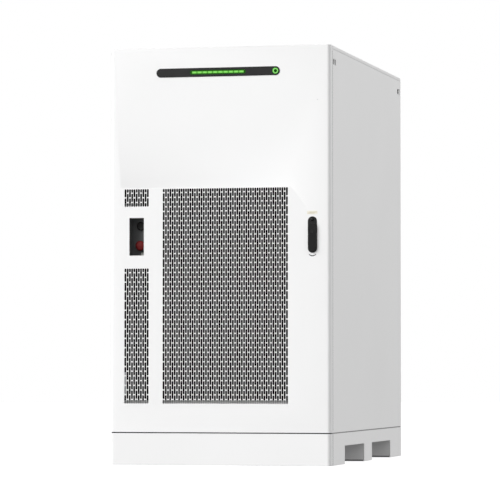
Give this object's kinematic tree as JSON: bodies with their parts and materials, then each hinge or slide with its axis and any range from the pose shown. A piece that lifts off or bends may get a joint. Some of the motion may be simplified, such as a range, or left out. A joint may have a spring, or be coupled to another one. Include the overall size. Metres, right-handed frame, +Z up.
{
  "type": "server rack battery cabinet",
  "caption": "Free-standing rack battery cabinet with a perforated hinged front door, status bar, swing handle and fork-lift plinth.",
  "frame": {"origin": "bottom centre of the whole object's box, on the floor", "axes": "+Z up, front door faces -Y, +X to the right as seen by someone facing the door"},
  "size_m": [0.6, 0.9966, 1.105],
  "materials": {
    "white_powder_coat": "satin",
    "inner_frame_paint": "satin",
    "black_plastic": "matte",
    "status_bar_black": "satin",
    "lit_green": "satin",
    "dark_green": "satin",
    "zinc_plate": "satin",
    "key_metal": "satin",
    "gasket_rubber": "matte",
    "module_black": "matte",
    "control_grey": "matte",
    "signal_red": "satin",
    "busbar_copper": "satin"
  },
  "bodies": {
    "cabinet": {"plinth_side_left": "white_powder_coat", "plinth_side_right": "white_powder_coat", "fork_tunnel_front": "white_powder_coat", "fork_tunnel_rear": "white_powder_coat", "plinth_front_panel": "white_powder_coat", "plinth_rear_panel": "white_powder_coat", "floor_pan": "inner_frame_paint", "post_front_left": "inner_frame_paint", "post_front_right": "inner_frame_paint", "post_rear_left": "inner_frame_paint", "post_rear_right": "inner_frame_paint", "roof_frame": "inner_frame_paint", "top_cover": "white_powder_coat", "front_sill": "inner_frame_paint", "side_panel_left": "white_powder_coat", "side_panel_right": "white_powder_coat", "rear_panel": "white_powder_coat", "hinge_fixed_leaf_lower": "zinc_plate", "hinge_fixed_leaf_upper": "zinc_plate", "rack_side_left": "inner_frame_paint", "rack_side_right": "inner_frame_paint", "battery_module_1": "module_black", "battery_module_2": "module_black", "battery_module_3": "module_black", "battery_module_4": "module_black", "control_box": "control_grey", "main_breaker": "control_grey", "busbar_negative": "busbar_copper", "busbar_positive": "busbar_copper", "fan_frame_left": "black_plastic", "fan_frame_right": "black_plastic"},
    "door": {"door_panel": "white_powder_coat", "window_bezel": "black_plastic", "door_gasket": "gasket_rubber", "lock_channel": "zinc_plate", "status_bar_bezel": "status_bar_black", "led_light_guide": "lit_green", "power_button_ring": "lit_green", "handle_base": "black_plastic", "hinge_door_leaf_lower": "zinc_plate", "hinge_door_leaf_upper": "zinc_plate", "hinge_pin_lower": "zinc_plate", "hinge_pin_upper": "zinc_plate"},
    "handle_turner": {"handle_hub": "black_plastic", "lock_cam": "zinc_plate"},
    "handle_lever": {"handle_lever": "black_plastic"},
    "key_cylinder": {"key_cylinder": "key_metal"},
    "release_button": {"release_button": "black_plastic"},
    "power_button": {"power_button": "dark_green"},
    "lock_rod_upper": {"lock_rod_upper": "zinc_plate"},
    "lock_rod_lower": {"lock_rod_lower": "zinc_plate"},
    "start_button": {"start_button": "black_plastic"},
    "emergency_stop": {"emergency_stop": "signal_red"},
    "breaker_toggle": {"breaker_toggle": "black_plastic"},
    "fan_rotor_left": {"fan_rotor_left": "black_plastic"},
    "fan_rotor_right": {"fan_rotor_right": "black_plastic"},
    "side_latch_front_left": {"side_latch_front_left": "white_powder_coat"},
    "side_latch_front_right": {"side_latch_front_right": "white_powder_coat"},
    "side_latch_rear_left": {"side_latch_rear_left": "white_powder_coat"},
    "side_latch_rear_right": {"side_latch_rear_right": "white_powder_coat"}
  },
  "joints": [
    {"name": "door_swing", "type": "hinge", "parent": "cabinet", "child": "door", "pos_m": [-0.292, -0.47975, 0.595], "axis": [0, 0, -1], "range_deg": [0, 105]},
    {"name": "handle_turn", "type": "hinge", "parent": "door", "child": "handle_turner", "pos_m": [0.2511, -0.49175, 0.626], "axis": [0, 1, 0], "range_deg": [0, 90]},
    {"name": "handle_tilt", "type": "hinge", "parent": "handle_turner", "child": "handle_lever", "pos_m": [0.2511, -0.49565, 0.6344], "axis": [-1, 0, 0], "range_deg": [0, 35]},
    {"name": "key_turn", "type": "hinge", "parent": "handle_lever", "child": "key_cylinder", "pos_m": [0.2511, -0.49175, 0.614], "axis": [0, 1, 0], "range_deg": [0, 90]},
    {"name": "release_button_press", "type": "slide", "parent": "door", "child": "release_button", "axis": [0, 1, 0], "range_m": [0, 0.0015], "stiffness_N_per_m": 400},
    {"name": "power_button_press", "type": "slide", "parent": "door", "child": "power_button", "axis": [0, 1, 0], "range_m": [0, 0.0012], "stiffness_N_per_m": 400},
    {"name": "lock_rod_upper_slide", "type": "slide", "parent": "door", "child": "lock_rod_upper", "axis": [0, 0, -1], "range_m": [0, 0.0121]},
    {"name": "lock_rod_lower_slide", "type": "slide", "parent": "door", "child": "lock_rod_lower", "axis": [0, 0, 1], "range_m": [0, 0.0121]},
    {"name": "start_button_press", "type": "slide", "parent": "cabinet", "child": "start_button", "axis": [0, 1, 0], "range_m": [0, 0.003], "stiffness_N_per_m": 400},
    {"name": "emergency_stop_press", "type": "slide", "parent": "cabinet", "child": "emergency_stop", "axis": [0, 1, 0], "range_m": [0, 0.005]},
    {"name": "breaker_flip", "type": "hinge", "parent": "cabinet", "child": "breaker_toggle", "pos_m": [0.12, -0.45175, 0.6045], "axis": [1, 0, 0], "range_deg": [0, 50]},
    {"name": "fan_spin_left", "type": "hinge", "parent": "cabinet", "child": "fan_rotor_left", "pos_m": [-0.1, 0.47825, 0.95], "axis": [0, 1, 0], "continuous": true},
    {"name": "fan_spin_right", "type": "hinge", "parent": "cabinet", "child": "fan_rotor_right", "pos_m": [0.1, 0.47825, 0.95], "axis": [0, 1, 0], "continuous": true},
    {"name": "side_latch_front_left_slide", "type": "slide", "parent": "cabinet", "child": "side_latch_front_left", "axis": [0, 1, 0], "range_m": [0, 0.018]},
    {"name": "side_latch_front_right_slide", "type": "slide", "parent": "cabinet", "child": "side_latch_front_right", "axis": [0, 1, 0], "range_m": [0, 0.018]},
    {"name": "side_latch_rear_left_slide", "type": "slide", "parent": "cabinet", "child": "side_latch_rear_left", "axis": [0, -1, 0], "range_m": [0, 0.018]},
    {"name": "side_latch_rear_right_slide", "type": "slide", "parent": "cabinet", "child": "side_latch_rear_right", "axis": [0, -1, 0], "range_m": [0, 0.018]}
  ],
  "couplings": [
    {"joint": "lock_rod_upper_slide", "follows": "handle_turn", "m_per_rad": 0.007653},
    {"joint": "lock_rod_lower_slide", "follows": "handle_turn", "m_per_rad": 0.007653}
  ]
}
